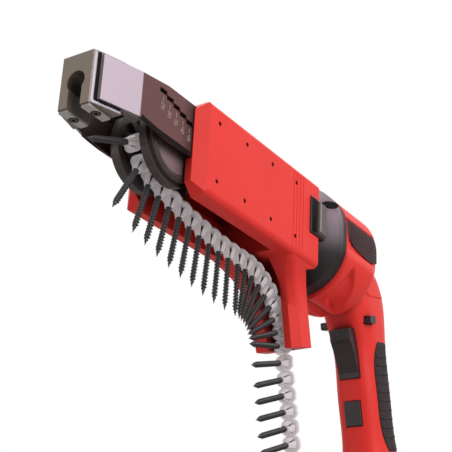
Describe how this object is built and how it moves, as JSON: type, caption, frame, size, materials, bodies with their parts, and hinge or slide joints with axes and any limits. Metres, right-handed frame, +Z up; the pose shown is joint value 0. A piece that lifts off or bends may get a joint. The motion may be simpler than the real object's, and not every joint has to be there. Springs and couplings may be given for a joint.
{
  "type": "drywall screwdriver",
  "caption": "Pistol-grip cordless drywall screwdriver with a sprung sliding nose, a collated-screw strip in a magazine and chute, a trigger and a slide-off battery pack.",
  "frame": {"origin": "centre of the battery pack's underside, on the floor", "axes": "+X forward, the way the nose points in plan; +Y to the tool's left; +Z up. The drive axis leans 13 degrees nose-up."},
  "size_m": [0.3711, 0.0808, 0.3137],
  "materials": {
    "red_housing": "satin moulded",
    "gearcase_grey": "satin",
    "soft_black": "matt",
    "light_lens": "clear",
    "nose_grey": "satin",
    "plate_lilac": "satin",
    "wear_pad": "matt",
    "feed_dark": "satin",
    "sprocket_black": "matt",
    "button_black": "matt",
    "strip_clear": "translucent",
    "screw_black": "phosphate",
    "bright_steel": "turned",
    "spring_steel": "drawn",
    "fastener_steel": "plated",
    "plate_alloy": "cast",
    "motor_iron": "laminated",
    "inner_black": "matt",
    "battery_black": "textured",
    "battery_red": "satin moulded",
    "cell_sleeve": "sleeved",
    "contact_brass": "plated"
  },
  "bodies": {
    "body": {"magazine_shell_left": "red_housing", "magazine_shell_right": "red_housing", "magazine_screws": "fastener_steel", "return_spring": "spring_steel", "gearcase": "gearcase_grey", "work_light": "light_lens", "body_shell_left": "red_housing", "body_shell_right": "red_housing", "body_screws": "fastener_steel", "vent_panel_left": "soft_black", "vent_panel_right": "soft_black", "grip_pad": "soft_black", "mid_plate": "plate_alloy", "rear_plate": "plate_alloy", "spindle_bearing_front": "bright_steel", "spindle_bearing_rear": "bright_steel", "motor_bearing_front": "bright_steel", "motor_bearing_rear": "bright_steel", "motor_stator": "motor_iron", "switch_module": "inner_black", "trigger_spring": "spring_steel", "control_board": "inner_black", "terminal_block": "inner_black", "strip_middle": "strip_clear", "strip_rear": "strip_clear", "screws_middle": "screw_black", "screws_rear": "screw_black"},
    "carriage": {"carriage_frame": "feed_dark", "feed_cheek_left": "feed_dark", "feed_cheek_right": "feed_dark", "strip_front": "strip_clear", "screws_front": "screw_black"},
    "sprocket": {"sprocket_left": "sprocket_black", "sprocket_right": "sprocket_black"},
    "nosepiece": {"nose_foot": "nose_grey", "foot_pads": "wear_pad", "foot_screws": "fastener_steel", "nose_plate_left": "plate_lilac", "nose_plate_right": "plate_lilac"},
    "spindle": {"spindle": "bright_steel", "spindle_gear": "bright_steel", "driver_bit": "bright_steel"},
    "rotor": {"motor_rotor": "motor_iron", "motor_pinion": "bright_steel", "motor_fan": "inner_black"},
    "trigger": {"trigger": "button_black"},
    "shuttle": {"direction_shuttle": "button_black"},
    "lock": {"lock_button": "button_black"},
    "release_left": {"release_button_left": "button_black"},
    "release_right": {"release_button_right": "button_black"},
    "battery": {"battery_case_lower": "battery_black", "battery_case_upper": "battery_red", "battery_cells": "cell_sleeve", "battery_contacts": "contact_brass"},
    "latch_left": {"battery_latch_left": "button_black"},
    "latch_right": {"battery_latch_right": "button_black"}
  },
  "joints": [
    {"name": "nose_slide", "type": "slide", "parent": "body", "child": "carriage", "axis": [-0.9744, 0, -0.225], "range_m": [0, 0.0416], "stiffness_N_per_m": 400, "springref_m": -0.03, "deforming": ["return_spring", "strip_middle", "screws_middle"]},
    {"name": "nosepiece_slide", "type": "slide", "parent": "carriage", "child": "nosepiece", "axis": [0.9744, 0, 0.225], "range_m": [-0.018, 0.01]},
    {"name": "sprocket_turn", "type": "hinge", "parent": "carriage", "child": "sprocket", "pos_m": [0.24041, 0, 0.27508], "axis": [0, -1, 0], "range_deg": [0, 40.5]},
    {"name": "rotor_spin", "type": "hinge", "parent": "body", "child": "rotor", "pos_m": [0.04694, 0, 0.22177], "axis": [0.9744, 0, 0.225], "continuous": true},
    {"name": "spindle_spin", "type": "hinge", "parent": "body", "child": "spindle", "pos_m": [0.102, 0, 0.25], "axis": [0.9744, 0, 0.225], "continuous": true},
    {"name": "trigger_pull", "type": "slide", "parent": "body", "child": "trigger", "axis": [-1, 0, 0], "range_m": [0, 0.005], "stiffness_N_per_m": 800, "springref_m": -0.004, "deforming": ["trigger_spring"]},
    {"name": "direction_shift", "type": "slide", "parent": "body", "child": "shuttle", "axis": [0, 1, 0], "range_m": [-0.003, 0.003]},
    {"name": "lock_push", "type": "slide", "parent": "body", "child": "lock", "axis": [-1, 0, 0], "range_m": [0, 0.0025], "stiffness_N_per_m": 600, "springref_m": -0.002},
    {"name": "release_left_push", "type": "slide", "parent": "body", "child": "release_left", "axis": [0, -1, 0], "range_m": [0, 0.0025], "stiffness_N_per_m": 800, "springref_m": -0.003},
    {"name": "release_right_push", "type": "slide", "parent": "body", "child": "release_right", "axis": [0, 1, 0], "range_m": [0, 0.0025], "stiffness_N_per_m": 800, "springref_m": -0.003},
    {"name": "battery_slide", "type": "slide", "parent": "body", "child": "battery", "axis": [1, 0, 0], "range_m": [0, 0.036]},
    {"name": "latch_left_push", "type": "slide", "parent": "battery", "child": "latch_left", "axis": [0, -1, 0], "range_m": [0, 0.002], "stiffness_N_per_m": 900, "springref_m": -0.003},
    {"name": "latch_right_push", "type": "slide", "parent": "battery", "child": "latch_right", "axis": [0, 1, 0], "range_m": [0, 0.002], "stiffness_N_per_m": 900, "springref_m": -0.003}
  ],
  "couplings": [
    {"joint": "sprocket_turn", "follows": "nose_slide", "rad_per_m": 16.78},
    {"joint": "spindle_spin", "follows": "rotor_spin", "ratio": -0.33333}
  ]
}
